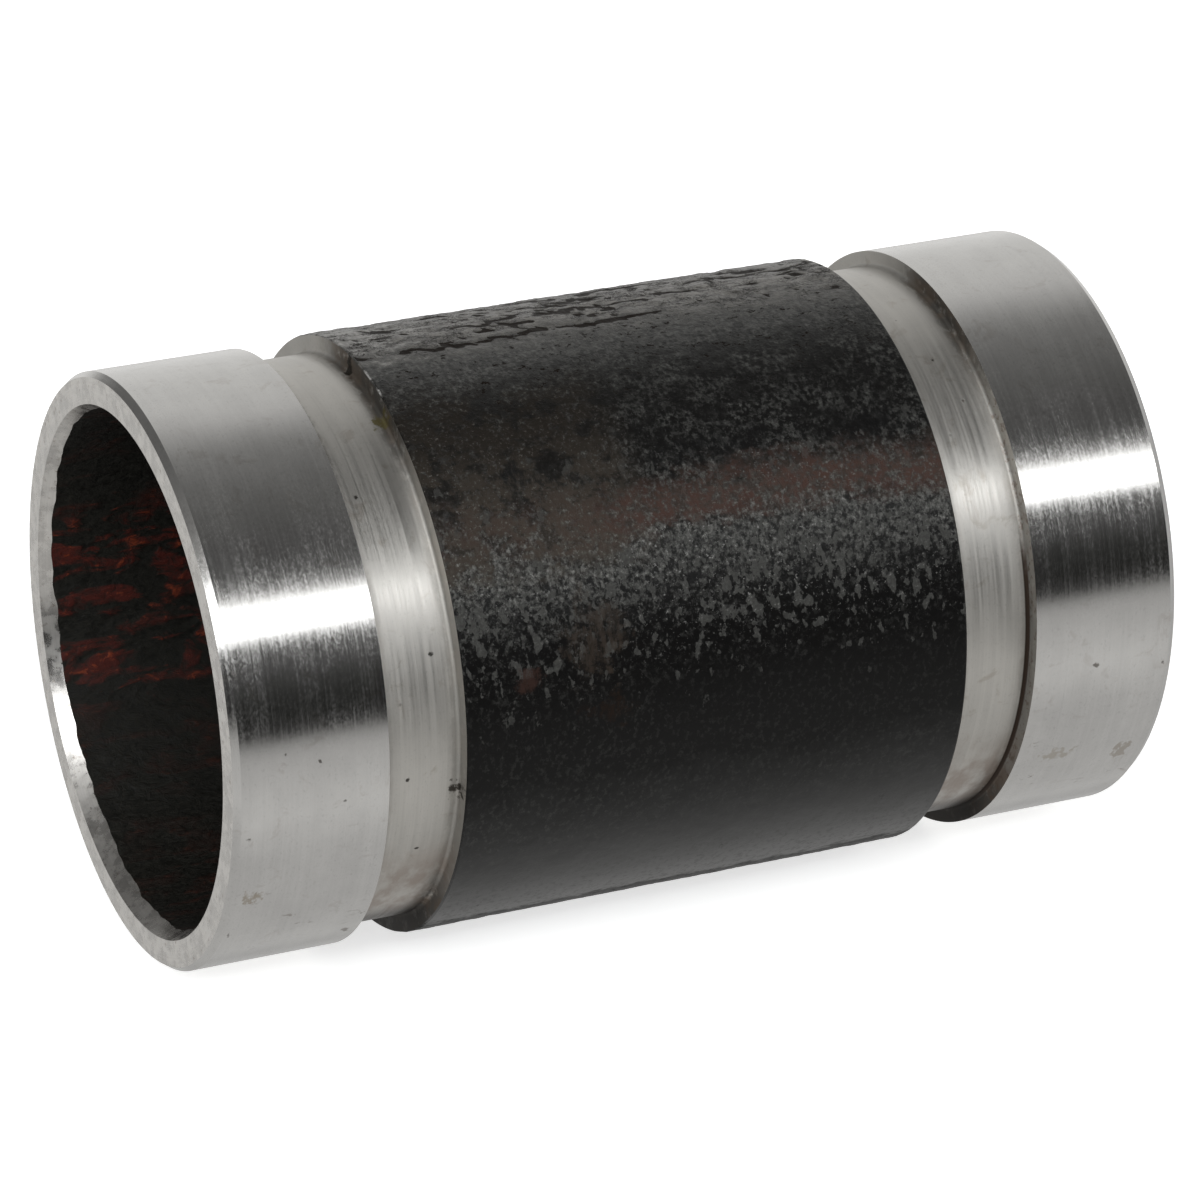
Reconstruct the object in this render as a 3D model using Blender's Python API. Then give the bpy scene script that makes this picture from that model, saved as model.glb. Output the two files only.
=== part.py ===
"""Grooved pipe nipple: one length of 2 inch schedule 40 steel pipe, both ends turned and cut-grooved.

The pipe lies along X with its centre at the origin. Metres, +Z up.
"""

import math

import bmesh
import bpy
from mathutils import Vector

MM = 0.001

# Overall
LENGTH = 101.6 * MM
MILL_RADIUS = 30.5 * MM  # outside left as it came from the pipe mill
LAND_RADIUS = 30.15 * MM  # outside turned at each end, 60.3 mm across
BORE_RADIUS = 26.24 * MM  # wall of 3.91 mm under the turned ends

# Turned ends
LAND_LENGTH = 15.88 * MM  # gasket seat between the end face and the groove
OUTER_CHAMFER_RADIAL = 0.5 * MM
OUTER_CHAMFER_AXIAL = 0.7 * MM
BORE_BEVEL_RADIAL = 0.7 * MM
BORE_BEVEL_AXIAL = 1.4 * MM

# Cut groove
GROOVE_RADIUS = 28.575 * MM  # groove floor, 57.15 mm across
GROOVE_WIDTH = 7.95 * MM
LAND_CORNER_RADIUS = 0.4 * MM  # fillet between the floor and the wall under the gasket seat
SHOULDER_CORNER_RADIUS = 0.4 * MM  # fillet between the floor and the wall under the mill surface
SHOULDER_EDGE_BREAK = 0.15 * MM

# Fineness
SEGMENTS = 48
FILLET_STEPS = 3

STEEL_COLOUR = (0.045, 0.043, 0.041, 1.0)
STEEL_METALLIC = 0.85
STEEL_ROUGHNESS = 0.42
SHARP_ANGLE = math.radians(28.0)


def clear_scene():
    for ob in list(bpy.data.objects):
        bpy.data.objects.remove(ob, do_unlink=True)


def steel_material():
    mat = bpy.data.materials.new("black_steel")
    mat.use_nodes = True
    shader = mat.node_tree.nodes["Principled BSDF"]
    shader.inputs["Base Color"].default_value = STEEL_COLOUR
    shader.inputs["Metallic"].default_value = STEEL_METALLIC
    shader.inputs["Roughness"].default_value = STEEL_ROUGHNESS
    return mat


def arc(centre_x, centre_r, radius, start, end):
    """Profile points of an arc, angles in radians from +X towards +R."""
    points = []
    for i in range(FILLET_STEPS + 1):
        a = start + (end - start) * i / FILLET_STEPS
        points.append((centre_x + radius * math.cos(a), centre_r + radius * math.sin(a)))
    return points


def end_profile():
    """Outline of one end as (distance from the end face, radius), from the bore's bevel to the mill surface."""
    groove_start = LAND_LENGTH
    groove_end = LAND_LENGTH + GROOVE_WIDTH
    points = [
        (BORE_BEVEL_AXIAL, BORE_RADIUS),
        (0.0, BORE_RADIUS + BORE_BEVEL_RADIAL),
        (0.0, LAND_RADIUS - OUTER_CHAMFER_RADIAL),
        (OUTER_CHAMFER_AXIAL, LAND_RADIUS),
        (groove_start, LAND_RADIUS),
    ]
    points += arc(
        groove_start + LAND_CORNER_RADIUS,
        GROOVE_RADIUS + LAND_CORNER_RADIUS,
        LAND_CORNER_RADIUS,
        math.pi,
        1.5 * math.pi,
    )
    points += arc(
        groove_end - SHOULDER_CORNER_RADIUS,
        GROOVE_RADIUS + SHOULDER_CORNER_RADIUS,
        SHOULDER_CORNER_RADIUS,
        1.5 * math.pi,
        2.0 * math.pi,
    )
    points += [
        (groove_end, MILL_RADIUS - SHOULDER_EDGE_BREAK),
        (groove_end + SHOULDER_EDGE_BREAK, MILL_RADIUS),
    ]
    return points


def pipe_profile():
    """Closed outline of the wall as (x, radius): one end, then its mirror image."""
    half = LENGTH / 2
    first = [(d - half, r) for d, r in end_profile()]
    second = [(half - d, r) for d, r in reversed(end_profile())]
    return first + second


def turned_mesh(name, profile):
    """Turn a closed (x, radius) outline about X. A flat side of the polygon faces straight down."""
    bm = bmesh.new()
    rings = []
    for i in range(SEGMENTS):
        a = 2 * math.pi * (i + 0.5) / SEGMENTS
        ring = [bm.verts.new(Vector((x, r * math.cos(a), r * math.sin(a)))) for x, r in profile]
        rings.append(ring)
    count = len(profile)
    for i in range(SEGMENTS):
        here = rings[i]
        there = rings[(i + 1) % SEGMENTS]
        for j in range(count):
            k = (j + 1) % count
            bm.faces.new((here[j], here[k], there[k], there[j]))
    bmesh.ops.recalc_face_normals(bm, faces=bm.faces)
    mesh = bpy.data.meshes.new(name)
    bm.to_mesh(mesh)
    bm.free()
    mesh.shade_smooth()
    mesh.set_sharp_from_angle(angle=SHARP_ANGLE)
    return mesh


def make_nipple():
    mesh = turned_mesh("grooved_pipe_nipple", pipe_profile())
    mesh.materials.append(steel_material())
    ob = bpy.data.objects.new("grooved_pipe_nipple", mesh)
    bpy.context.scene.collection.objects.link(ob)
    return ob


clear_scene()
make_nipple()
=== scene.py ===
"""Looks of the grooved pipe nipple: one turned, grooved and scaled piece of steel pipe.

Lengths in the geometry are in millimetres until the mesh is made. Angles round the pipe are in
degrees, from +Y towards +Z.
"""

import math

import bpy
import numpy as np
from mathutils import Matrix, Vector, noise


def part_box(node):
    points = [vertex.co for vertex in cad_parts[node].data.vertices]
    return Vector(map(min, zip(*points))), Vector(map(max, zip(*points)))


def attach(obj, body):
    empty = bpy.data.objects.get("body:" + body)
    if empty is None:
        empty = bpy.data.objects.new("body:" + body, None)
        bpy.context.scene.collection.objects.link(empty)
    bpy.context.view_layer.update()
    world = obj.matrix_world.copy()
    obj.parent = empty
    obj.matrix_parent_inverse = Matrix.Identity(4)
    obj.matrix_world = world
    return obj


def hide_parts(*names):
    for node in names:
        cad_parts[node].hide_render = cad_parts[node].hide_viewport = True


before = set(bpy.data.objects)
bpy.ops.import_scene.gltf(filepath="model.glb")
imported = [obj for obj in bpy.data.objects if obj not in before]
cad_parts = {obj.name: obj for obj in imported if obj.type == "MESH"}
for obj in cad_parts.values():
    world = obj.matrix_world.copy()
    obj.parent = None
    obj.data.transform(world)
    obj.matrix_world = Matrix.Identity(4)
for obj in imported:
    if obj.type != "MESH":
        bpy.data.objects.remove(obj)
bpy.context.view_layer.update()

MM = 0.001
DEGREE = math.radians(1.0)
NODE = "grooved_pipe_nipple"

# The pipe
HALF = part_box(NODE)[1].x / MM
MILL_RADIUS = 30.5
LAND_RADIUS = 30.15
BORE_RADIUS = 26.24
LAND_LENGTH = 15.88
GROOVE_RADIUS = 28.575
GROOVE_WIDTH = 7.95
LAND_CORNER = 0.4
SHOULDER_CORNER = 0.4
EDGE_BREAK = 0.15
OUTER_CHAMFER = (0.7, 0.5)  # along the axis, across it
BORE_BEVEL = (1.4, 0.7)
MILL_EDGE = LAND_LENGTH + GROOVE_WIDTH + EDGE_BREAK  # from the end face

# The mesh: steps round, and cells along each part of the outline
AROUND = 384
MILL_CELLS = 108
BORE_CELLS = 52
BORE_CROWDING = 0.12  # makes the bore's cells shorter near its ends
BEVEL_CELLS = 3
FACE_CELLS = 4
CHAMFER_CELLS = 2
LAND_CELLS = 16
GROOVE_WALL_CELLS = 2
CORNER_CELLS = 5
GROOVE_FLOOR_CELLS = 8
EDGE_CELLS = 2
SEAM = -25.3  # the mesh's seam, low on the far side
SHARP_TURN = 20.0  # degrees of turn in the outline beyond which a corner is shaded sharp
CORNER_FADE = (1.5, 0.25)  # mm from a groove's wall: 0 beyond the first, 1 within the second
BORE_BAKE_SHARE = 0.5  # the bore takes this share of the texture height that its length would
BAKE_MARGIN = 0.004

# Noises of the relief: mm across their lumps along X, Y and Z, seed, octaves
SEED_STEP = (17.3, 5.1, 9.7)  # how far each seed moves the noise along X, Y and Z
FRACTAL_FALL = 0.8
FRACTAL_STEP = 2.1
WAVE_NOISE = ((14.0, 9.0, 9.0), 1, 2)
GRAIN_NOISE = ((1.5, 1.1, 1.1), 2, 2)
FLAKE_NOISE = ((2.4, 1.4, 1.4), 7, 3)
JAG_NOISE = ((1.3, 0.9, 0.9), 8)
NET_NOISE = ((3.6, 1.6, 1.6), 5)
GATE_NOISE = ((7.0, 4.0, 4.0), 6)
CHIP_NOISE = ((1.0, 1.1, 1.1), 21)
LONG_CHIP_NOISE = ((1.0, 3.0, 3.0), 22)
RIDGE_NOISE = ((5.0, 5.0, 5.0), 11, 2)
LUMP_NOISE = ((3.0, 2.0, 2.0), 12, 2)
CRUMB_NOISE = ((1.4, 1.2, 1.2), 13)

# Relief, in mm
MILL_WAVES = 0.05
MILL_GRAIN = 0.015
SKIN_GRAIN = 0.03
FLAKE_HEIGHT = 0.13
FLAKE_SINK = 0.10
CRACK_DEPTH = 0.16
CRACK_HALF_WIDTH = (0.55, 0.15)  # gone beyond the first, full within the second
CRACK_ENDS = (4.0, 1.0)  # a crack fades from this far outside its ends to this far inside
EDGE_RELIEF = 0.6  # share of the relief left at the two edges of the mill surface
CHIP_SETBACK = 0.05
CHIP_SPREAD = 0.10
LONG_CHIP_SHARE = 0.6
BORE_WAVES = ((1, 0.10, 100.0), (2, 0.06, 40.0))  # times round, height, phase in degrees
BORE_STRETCH = 0.12  # how fast the long ridges change along the bore, against round it
BORE_RIDGES = 0.11
BORE_LUMPS = 0.07
BORE_CRUMBS = 0.035

# Thick, wrinkled scale along the top, low on the far side, and less of it low in front:
# degrees round, half width where it ends, half width where it is full, how much of it
SKIN_STRIPS = (
    (76.0, 24.0, 15.0, 1.0),
    (312.0, 17.0, 9.0, 0.8),
    (246.0, 12.0, 6.0, 0.5),
)

# The net of short cracks, where a noise is close to 0
NET_JAG = 0.12
NET_FADE = (0.09, 0.02)
GATE_FADE = (-0.25, 0.10)  # a slower noise decides where there is a net at all

# How a long crack strays from its place: degrees, and mm along the pipe from one bend to the next
WANDER = (2.0, 6.0)
WIGGLE = (1.3, 1.7)
CRACK_JAG = 0.9
GAP_SIZE = 3.0
GAP_FADE = (-0.35, 0.05)
GAP_LEFT = 0.25  # how much of the crack is left in a gap

# Long cracks in the mill scale: degrees round, where they start and end along the pipe, seed
LONG_CRACKS = (
    (94.5, -27.0, 5.0, 3.0),
    (86.0, -22.0, 12.0, 5.0),
    (80.0, -2.0, 26.0, 7.0),
    (74.0, -20.0, 8.0, 11.0),
    (302.0, -20.0, 12.0, 9.0),
)

# Marks: (mm along, degrees round), half length and half width in mm, colour.
# On the mill scale: brown and black blots, a pale patch of painted light, and painted glints on the
# scale's edge.
DARK_MARK = (0.030, 0.026, 0.022)
BROWN_MARK = (0.060, 0.050, 0.040)
GLINT = (0.420, 0.410, 0.390)
BLOTS = (
    ((-13.0, 163.0), (2.9, 3.8), (0.034, 0.026, 0.020)),
    ((-20.3, 168.5), (1.2, 1.5), (0.034, 0.018, 0.014)),
    ((-12.0, 177.0), (2.6, 1.4), (0.013, 0.007, 0.004)),
    ((-17.0, 130.5), (2.0, 1.7), (0.005, 0.005, 0.005)),
    ((-13.5, 133.5), (2.6, 1.2), (0.006, 0.006, 0.006)),
    ((4.0, 131.0), (5.5, 2.4), (0.004, 0.004, 0.004)),
    ((22.0, 132.0), (3.5, 2.0), (0.004, 0.004, 0.004)),
    # Painted light: a pale patch on the top, by the near edge of the scale
    ((-24.5, 77.0), (4.5, 9.0), (0.260, 0.252, 0.235)),
    ((-26.90, 97.5), (0.12, 0.7), GLINT),
    ((-26.90, 101.5), (0.14, 1.2), GLINT),
    ((-26.90, 106.5), (0.12, 1.0), GLINT),
)
LAND_MARKS = (
    ((-45.5, 174.5), (0.22, 0.22), BROWN_MARK),
    ((-42.0, 177.0), (0.20, 0.24), BROWN_MARK),
    ((-49.3, 190.5), (0.26, 0.22), BROWN_MARK),
    ((-39.5, 186.0), (0.18, 0.20), BROWN_MARK),
    ((-48.2, 205.5), (1.1, 0.9), (0.360, 0.315, 0.255)),
    ((-49.6, 217.0), (0.24, 0.50), (0.070, 0.055, 0.042)),
    ((-36.2, 226.0), (0.45, 0.70), (0.110, 0.085, 0.065)),
    ((42.0, 187.0), (0.30, 0.24), (0.110, 0.095, 0.080)),
    ((49.6, 189.0), (0.24, 0.30), (0.070, 0.058, 0.046)),
    ((39.3, 209.0), (1.7, 0.8), (0.430, 0.400, 0.350)),
    ((47.4, 211.5), (0.8, 1.3), (0.380, 0.345, 0.300)),
)
GROOVE_MARKS = (
    ((-27.6, 111.0), (0.7, 1.1), (0.190, 0.165, 0.070)),
    ((-27.2, 92.0), (0.50, 0.8), (0.022, 0.018, 0.014)),
    ((-27.5, 190.0), (0.5, 0.7), (0.030, 0.024, 0.018)),
    ((-33.0, 128.0), (0.22, 0.22), DARK_MARK),
    ((-29.4, 161.0), (0.25, 0.22), DARK_MARK),
    ((-32.4, 186.0), (0.20, 0.26), DARK_MARK),
    ((-30.6, 204.0), (0.28, 0.24), DARK_MARK),
    ((31.0, 118.0), (0.25, 0.25), DARK_MARK),
)
CREVICE_FADE = (0.34, 0.12)  # mm over the groove's floor: 0 above the first, 1 below the second
LAND_MARK_STRENGTH = 0.8
GROOVE_MARK_STRENGTH = 0.9

# Colours of the turned steel
LAND_METAL = (0.60, 0.592, 0.577)
GROOVE_METAL = (0.520, 0.505, 0.475)
FACE_METAL = (0.590, 0.573, 0.548)
PIT_METALLIC = 0.2
TURNED_STAIN = (0.26, 0.21, 0.16)
TURNED_PIT = (0.045, 0.036, 0.028)
LAND_STAIN = (0.17, 0.14, 0.11)
FACE_DIRT = (0.22, 0.18, 0.145)
FACE_PIT = (0.05, 0.04, 0.03)
GROOVE_BROWN = (0.29, 0.235, 0.20)
# Dirt and painted shade on the grooves' walls and corners
GROOVE_DIRT_AND_SHADE_GREY = (0.095, 0.088, 0.078)
GROOVE_DIRT_AND_SHADE_BROWN = (0.150, 0.118, 0.090)
GROOVE_RUST = (0.150, 0.100, 0.075)
GROOVE_CREVICE = (0.050, 0.036, 0.028)
# Painted shade along the grooves' underside, darker still in their corners
GROOVE_UNDER_SHADE = (0.040, 0.035, 0.030)
GROOVE_UNDER_CORNER_SHADE = (0.014, 0.012, 0.010)

# Colours of the mill scale and the bore
MILL_BLACK = (0.0033, 0.0032, 0.0031)
MILL_SHEEN = (0.023, 0.0222, 0.0202)
# Painted glints: the colour of the fine bright specks
MILL_GLINT_SPECK = (0.260, 0.257, 0.246)
GREY_WARMTH = 0.93  # blue, as a share of the red and green of the grey mottle
FILM_DARK = (0.009, 0.007, 0.005)
FILM_BROWN = (0.043, 0.035, 0.027)
FILM_GRAIN = (0.070, 0.062, 0.052)
STRIPE_RED = (0.056, 0.029, 0.022)
STRIPE_BROWN = (0.052, 0.039, 0.031)
STRIPE_GRAIN = (0.085, 0.072, 0.066)
SKIN_DARK = (0.036, 0.032, 0.026)
SKIN_PALE = (0.118, 0.110, 0.095)
SKIN_HOLLOW = (0.014, 0.011, 0.008)
CRACK_DARK = (0.010, 0.007, 0.005)
# Painted shade on the underside of the mill scale
BOTTOM_SHADE_DARK = (0.006, 0.0055, 0.005)
BORE_DARK = (0.0055, 0.0054, 0.0041)
BORE_PALE = (0.0138, 0.0130, 0.0096)
BORE_RUST = (0.070, 0.012, 0.008)
BORE_RUST_BRIGHT = (0.21, 0.040, 0.015)

# The mill scale by its place round the pipe: (degrees, value)
SHEEN = (
    (-20, 0.35), (10, 0.05), (34, 0.15), (46, 0.6), (98, 1.0), (108, 0.35), (116, 0.12),
    (150, 0.0), (176, 0.05), (190, 0.08), (225, 0.30), (300, 0.6),
)
LUMPY_SHEEN = ((92, 1.0), (112, 1.0), (122, 0.0))
MOTTLE_FROM = (  # the noise value where the grey mottle starts
    (-20, 0.50), (36, 0.46), (100, 0.38), (142, 0.44), (148, 0.30), (156, 0.42), (164, 0.52),
    (176, 0.50),
)
MOTTLE_GREY = (
    (-20, 0.006), (8, 0.020), (30, 0.024), (98, 0.034), (108, 0.022), (116, 0.016),
    (134, 0.024), (146, 0.066), (153, 0.052), (158, 0.024), (165, 0.010), (176, 0.005),
    (300, 0.02),
)
CLOUDED = ((100, 0.0), (112, 1.0), (134, 1.0), (142, 0.0))
PATCH_FROM = (  # the noise value where a grey patch starts
    (-20, 0.70), (2, 0.59), (26, 0.61), (40, 0.70), (112, 0.70), (124, 0.64), (146, 0.62),
    (156, 0.575), (168, 0.60), (175, 0.68), (185, 0.74),
)
PATCH_GREY = (
    (-20, 0.016), (8, 0.034), (34, 0.034), (100, 0.02), (124, 0.018), (146, 0.050),
    (160, 0.048), (172, 0.036), (182, 0.016),
)
FILM_BAND = ((106, 0.0), (114, 1.0), (147, 1.0), (152, 0.0))
FILM_TONE = ((110, 0.05), (124, 0.20), (131, 0.65), (140, 1.0))
STRIPE_BAND = ((134.0, 0.0), (139.5, 1.0), (144.0, 1.0), (146.8, 0.0))
# Where the painted glints lie, by degrees round
GLINT_SPECK_BAND = (
    (104, 0.0), (116, 0.12), (132, 0.25), (144, 0.35), (147, 1.0), (160, 0.8), (168, 0.35),
    (174, 0.0),
)
SKIN_BAND = ((38, 0.0), (46, 1.0), (88, 1.0), (101, 0.0))
HOLE_BAND = ((86, 0.0), (94, 1.0), (108, 1.0), (118, 0.35), (132, 0.0))
# Where painted shade darkens the underside, about 230 to 262 degrees round
BOTTOM_SHADE_BAND = ((229.5, 0.0), (233.0, 1.0), (250, 1.0), (262, 0.0))
MILL_ROUGH = (
    (-20, 0.36), (36, 0.38), (46, 0.36), (92, 0.36), (100, 0.42), (112, 0.36), (146, 0.34),
    (172, 0.32), (180, 0.32), (300, 0.36),
)
MILL_GLOSS = (
    (-20, 0.30), (14, 0.18), (34, 0.22), (46, 0.60), (74, 1.0), (86, 0.95), (93, 0.62),
    (101, 0.38), (110, 0.20), (116, 0.12), (138, 0.14), (172, 0.13), (190, 0.14),
    (202, 0.33), (210, 0.48), (222, 0.80), (229.5, 0.95), (262, 0.50), (320, 0.3),
)
MILL_BUMP = (
    (-20, 0.10), (10, 0.35), (38, 0.6), (46, 1.0), (92, 1.0), (100, 0.75), (160, 0.7),
    (172, 0.4), (178, 0.10), (255, 0.12), (300, 0.7),
)
MATT_ROUGH = 0.56
MILL_BUMP_DEPTH = 0.10
RUST_MIDDLE = -7.0  # degrees round the bore
BORE_BUMP_DEPTH = 0.25

# The camera
CAMERA_AZIMUTH = -23.76
CAMERA_ELEVATION = 23.40
CAMERA_DISTANCE = 0.6207
CAMERA_LENS = 182.2
CAMERA_SHIFT = (0.0031, -0.0075)
CAMERA_SENSOR = 36.0
CAMERA_NEAR = 0.01
CAMERA_FAR = 50.0

# The studio: brightness by direction round the pipe's axis, in degrees from +Y towards +Z.
# Low down it is the same for both walls. The wall towards +X is bright at the back, the other dark.
# The low part and a wall together may have 32 stops, as many as a ramp can hold.
FLOOR_LIGHT = (
    (-180, 0.02),
    (-172, 0.03),
    (-168.5, 0.42),
    (-164, 0.54),
    (-140, 0.72),
    (-122, 0.56),
    (-80, 0.55),
    (-62, 0.58),
    (-50, 0.46),
    (-38, 0.50),
)
WALL_PLUS_X = (
    (-25, 0.56),
    (-6, 0.84),
    (25, 0.75),
    (45, 0.70),
    (55, 0.62),
    (65, 0.40),
    (75, 0.25),
    (90, 0.17),
    (110, 0.11),
    (122, 0.08),
    (129, 0.10),
    (134.5, 0.32),
    (138.5, 1.90),
    (143, 4.80),
    (147, 5.90),
    (149.5, 1.30),
    (152.5, 0.10),
    (160, 0.09),
    (166, 0.05),
    (172, 0.03),
    (180, 0.02),
)
WALL_MINUS_X = (
    (-25, 0.70),
    (-4, 0.80),
    (10, 0.30),
    (22, 0.17),
    (60, 0.15),
    (90, 0.22),
    (108, 0.36),
    (120, 0.60),
    (124, 3.00),
    (128, 4.80),
    (146, 5.20),
    (149, 1.50),
    (152, 0.06),
    (180, 0.02),
)
STUDIO_PEAK = 6.0
STUDIO_ENDS = 0.55  # beyond the pipe's two ends
STUDIO_ENDS_FADE = (0.80, 0.98)  # where the ends take over, as a direction's share of X
STUDIO_WALLS_FADE = (-0.12, 0.15)  # where one wall gives way to the other
STUDIO_COOL_FADE = (0.15, 0.55)  # bright parts are cool, dim ones warm
STUDIO_WARM = (1.0, 0.995, 0.98)
STUDIO_COOL = (0.97, 0.985, 1.0)
FLOOR_SIZE = 4.0
FLOOR_FLAT = 0.6  # share of the floor's size that is flat
FLOOR_RINGS = 5
SWEEP_RINGS = 12
DOME_RINGS = 8
FLOOR_SIDES = 64
FLOOR_GLOW = 0.70
FLOOR_COLOURS = ((0.79, 0.79, 0.78), (0.81, 0.81, 0.80))


# ---------------------------------------------------------------- numbers


def smooth(value, low, high):
    """0 below low, 1 above high, smooth between. low may be the larger one."""
    t = np.clip((value - low) / (high - low), 0.0, 1.0)
    return t * t * (3 - 2 * t)


def wobble(points, sizes, seed, octaves=1):
    """Smooth noise of about -1 to 1 at each point, in lumps of these sizes along X, Y and Z."""
    scaled = points / np.array(sizes) + seed * np.array(SEED_STEP)
    flat = scaled.reshape(-1, 3).tolist()
    if octaves == 1:
        values = [noise.noise(Vector(p)) for p in flat]
    else:
        values = [noise.fractal(Vector(p), FRACTAL_FALL, FRACTAL_STEP, octaves) for p in flat]
    return np.array(values).reshape(points.shape[:-1])


def angle_from(phi, centre):
    """How far round phi is from centre, 0 to 180."""
    return np.abs((phi - centre + 180.0) % 360.0 - 180.0)


# ---------------------------------------------------------------- outline


def run(start, end, cells):
    """Points from start towards end, without end."""
    return [
        (start[0] + (end[0] - start[0]) * i / cells, start[1] + (end[1] - start[1]) * i / cells)
        for i in range(cells)
    ]


def arc(centre, radius, start, end, cells):
    """Points of an arc in degrees from +X towards +R, without the last one."""
    points = []
    for i in range(cells):
        a = math.radians(start + (end - start) * i / cells)
        points.append((centre[0] + radius * math.cos(a), centre[1] + radius * math.sin(a)))
    return points


def end_outline():
    """One end as a list of (points, zone), points as (distance from the end face, radius)."""
    face_in = (0.0, BORE_RADIUS + BORE_BEVEL[1])
    face_out = (0.0, LAND_RADIUS - OUTER_CHAMFER[1])
    land_start = (OUTER_CHAMFER[0], LAND_RADIUS)
    land_end = (LAND_LENGTH, LAND_RADIUS)
    wall_foot = (LAND_LENGTH, GROOVE_RADIUS + LAND_CORNER)
    floor_start = (LAND_LENGTH + LAND_CORNER, GROOVE_RADIUS)
    land_corner = (floor_start[0], wall_foot[1])
    shoulder = LAND_LENGTH + GROOVE_WIDTH
    floor_end = (shoulder - SHOULDER_CORNER, GROOVE_RADIUS)
    shoulder_foot = (shoulder, GROOVE_RADIUS + SHOULDER_CORNER)
    shoulder_corner = (floor_end[0], shoulder_foot[1])
    shoulder_top = (shoulder, MILL_RADIUS - EDGE_BREAK)
    mill_start = (MILL_EDGE, MILL_RADIUS)
    return [
        (run((BORE_BEVEL[0], BORE_RADIUS), face_in, BEVEL_CELLS), "bevel"),
        (run(face_in, face_out, FACE_CELLS), "face"),
        (run(face_out, land_start, CHAMFER_CELLS), "land"),
        (run(land_start, land_end, LAND_CELLS), "land"),
        (run(land_end, wall_foot, GROOVE_WALL_CELLS), "groove"),
        (arc(land_corner, LAND_CORNER, 180, 270, CORNER_CELLS), "groove"),
        (run(floor_start, floor_end, GROOVE_FLOOR_CELLS), "groove"),
        (arc(shoulder_corner, SHOULDER_CORNER, 270, 360, CORNER_CELLS), "groove"),
        (run(shoulder_foot, shoulder_top, GROOVE_WALL_CELLS), "groove"),
        (run(shoulder_top, mill_start, EDGE_CELLS), "mill"),
    ]


def outline():
    """The whole closed outline: x, radius, and the zone of the cell after each point."""
    first = [(d, r, zone) for points, zone in end_outline() for d, r in points]
    depths, radii, zones = (list(column) for column in zip(*first))
    first_x = [d - HALF for d in depths]
    mill_x = list(np.linspace(MILL_EDGE - HALF, HALF - MILL_EDGE, MILL_CELLS + 1))
    xs = first_x + mill_x
    rs = radii + [MILL_RADIUS] * len(mill_x)
    zs = zones + ["mill"] * MILL_CELLS + [zones[-1]]
    xs += [-x for x in reversed(first_x)]
    rs += list(reversed(radii))
    zs += list(reversed(zones[:-1])) + ["bore"]
    t = np.linspace(0.0, 1.0, BORE_CELLS + 1)[1:-1]
    eased = t - BORE_CROWDING * np.sin(2 * math.pi * t)
    reach = HALF - BORE_BEVEL[0]
    xs += list(reach - 2 * reach * eased)
    rs += [BORE_RADIUS] * (BORE_CELLS - 1)
    zs += ["bore"] * (BORE_CELLS - 1)
    return np.array(xs), np.array(rs), zs


# ---------------------------------------------------------------- relief


def skin_cover(phi):
    """1 where the thick, wrinkled scale lies."""
    strips = [
        share * smooth(angle_from(phi, middle), outer, inner)
        for middle, outer, inner, share in SKIN_STRIPS
    ]
    return np.maximum.reduce(strips)


def noise_line(x, size, seed):
    """Smooth noise that changes only along the pipe."""
    points = np.stack([x, np.zeros_like(x), np.zeros_like(x)], -1)
    return wobble(points, (size, size, size), seed)


def crack_lines(points, phi, x):
    """1 along the cracks: a few long ones, and a net of short ones within the thick scale."""
    jag = wobble(points, *JAG_NOISE)
    net = smooth(np.abs(wobble(points, *NET_NOISE) + NET_JAG * jag), *NET_FADE)
    gate = smooth(wobble(points, *GATE_NOISE), *GATE_FADE)
    found = net * gate * skin_cover(phi)
    outside, inside = CRACK_ENDS
    for place, start, end, seed in LONG_CRACKS:
        centre = place + WANDER[0] * noise_line(x, WANDER[1], seed)
        centre = centre + WIGGLE[0] * noise_line(x, WIGGLE[1], seed + 0.5) + CRACK_JAG * jag
        off = angle_from(phi, centre) * DEGREE * MILL_RADIUS
        reach = smooth(x, start - outside, start + inside)
        reach = reach * smooth(x, end + outside, end - inside)
        whole = smooth(noise_line(x, GAP_SIZE, seed + 0.8), *GAP_FADE)
        whole = GAP_LEFT + (1.0 - GAP_LEFT) * whole
        found = np.maximum(found, smooth(off, *CRACK_HALF_WIDTH) * reach * whole)
    return found


def mill_relief(points, phi, x):
    """Height of the mill surface over its radius, with the cracks' cover."""
    cover = skin_cover(phi)
    cracks = crack_lines(points, phi, x)
    broad = MILL_WAVES * wobble(points, *WAVE_NOISE)
    grain = (MILL_GRAIN + SKIN_GRAIN * cover) * wobble(points, *GRAIN_NOISE)
    flakes = cover * (FLAKE_HEIGHT * wobble(points, *FLAKE_NOISE) - FLAKE_SINK)
    return broad + grain + flakes - CRACK_DEPTH * cracks, cracks


def bore_relief(points, phi):
    """Height of the bore's wall outwards from its radius."""
    ring = points.copy()
    ring[..., 0] *= BORE_STRETCH
    lie = sum(
        height * np.cos(np.radians(times * phi - phase)) for times, height, phase in BORE_WAVES
    )
    long_ridges = BORE_RIDGES * wobble(ring, *RIDGE_NOISE)
    lumps = BORE_LUMPS * wobble(points, *LUMP_NOISE)
    crumbs = BORE_CRUMBS * wobble(points, *CRUMB_NOISE)
    return lie + long_ridges + lumps + crumbs


# ---------------------------------------------------------------- mesh


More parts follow.
